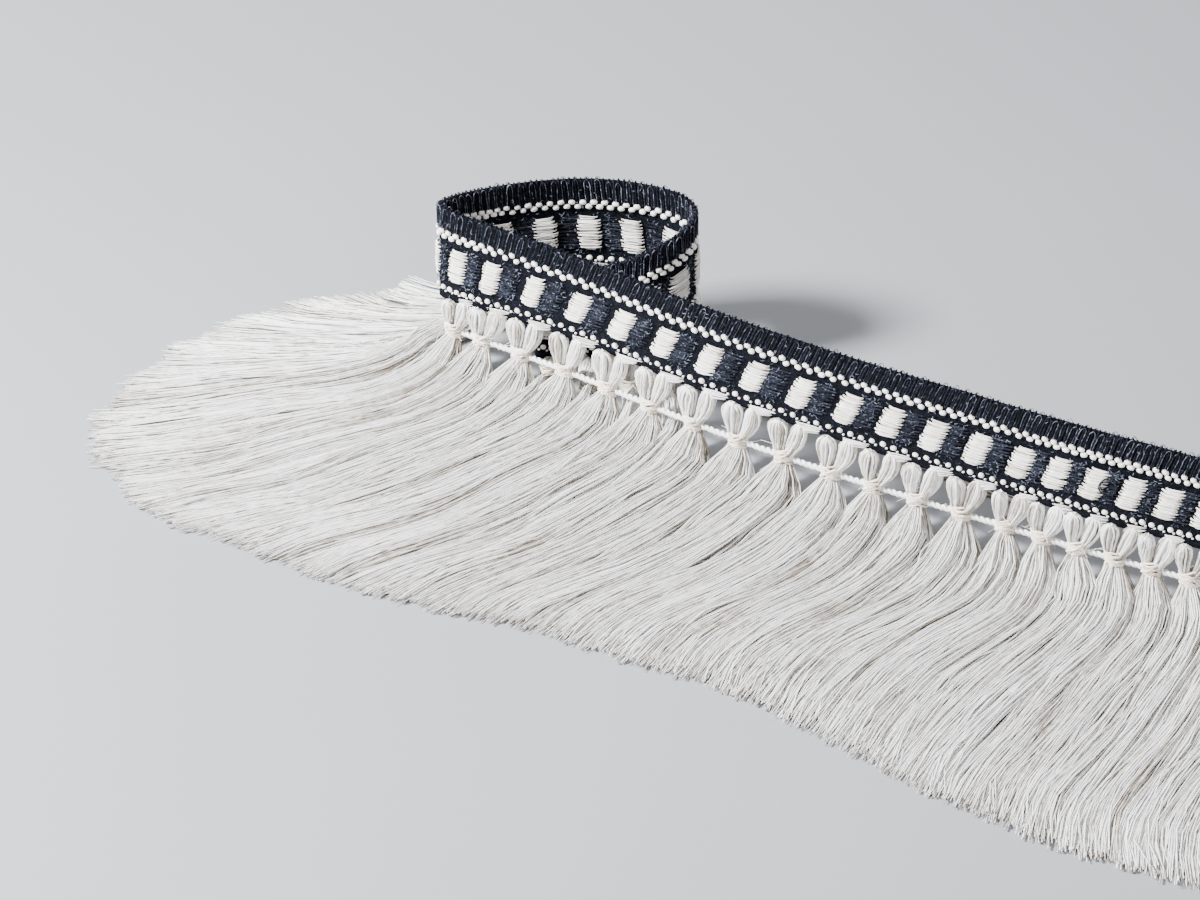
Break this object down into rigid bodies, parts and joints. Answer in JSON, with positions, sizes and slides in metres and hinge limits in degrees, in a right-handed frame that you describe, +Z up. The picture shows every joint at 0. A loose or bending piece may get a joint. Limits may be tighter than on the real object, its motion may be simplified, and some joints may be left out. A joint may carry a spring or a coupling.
{
  "type": "tassel fringe",
  "caption": "Cut length of woven navy and ivory heading tape with knotted ivory tassels, standing on edge in a loop with its long skirts swept out on the surface.",
  "frame": {"origin": "centre of the bounding box in plan, on the surface that the fringe rests on", "axes": "+Z up, -Y towards the front, where the skirts sweep; +X towards the tape's cut right end"},
  "size_m": [0.485, 0.4328, 0.0636],
  "materials": {
    "navy_woven_cloth": "woven, matt, navy with ivory blocks and beads",
    "ivory_yarn": "soft twisted yarn with a slight sheen"
  },
  "bodies": {
    "root": {"heading": "navy_woven_cloth", "tassel_back_1": "ivory_yarn", "tassel_back_2": "ivory_yarn", "tassel_back_3": "ivory_yarn", "tassel_back_4": "ivory_yarn", "tassel_back_5": "ivory_yarn", "tassel_front_01": "ivory_yarn", "tassel_front_02": "ivory_yarn", "tassel_front_03": "ivory_yarn", "tassel_front_04": "ivory_yarn", "tassel_front_05": "ivory_yarn", "tassel_front_06": "ivory_yarn", "tassel_front_07": "ivory_yarn", "tassel_front_08": "ivory_yarn", "tassel_front_09": "ivory_yarn", "tassel_front_10": "ivory_yarn", "tassel_front_11": "ivory_yarn", "tassel_front_12": "ivory_yarn", "tassel_front_13": "ivory_yarn", "tassel_front_14": "ivory_yarn", "tassel_front_15": "ivory_yarn", "tassel_front_16": "ivory_yarn", "tassel_front_17": "ivory_yarn", "tassel_front_18": "ivory_yarn", "tassel_front_19": "ivory_yarn", "tassel_front_20": "ivory_yarn", "tassel_front_21": "ivory_yarn", "tassel_front_22": "ivory_yarn", "tassel_front_23": "ivory_yarn", "tassel_front_24": "ivory_yarn", "tassel_inner_1": "ivory_yarn", "tassel_inner_2": "ivory_yarn", "tassel_inner_3": "ivory_yarn", "tassel_inner_4": "ivory_yarn", "tassel_turn_1": "ivory_yarn", "tassel_turn_2": "ivory_yarn"}
  },
  "joints": []
}
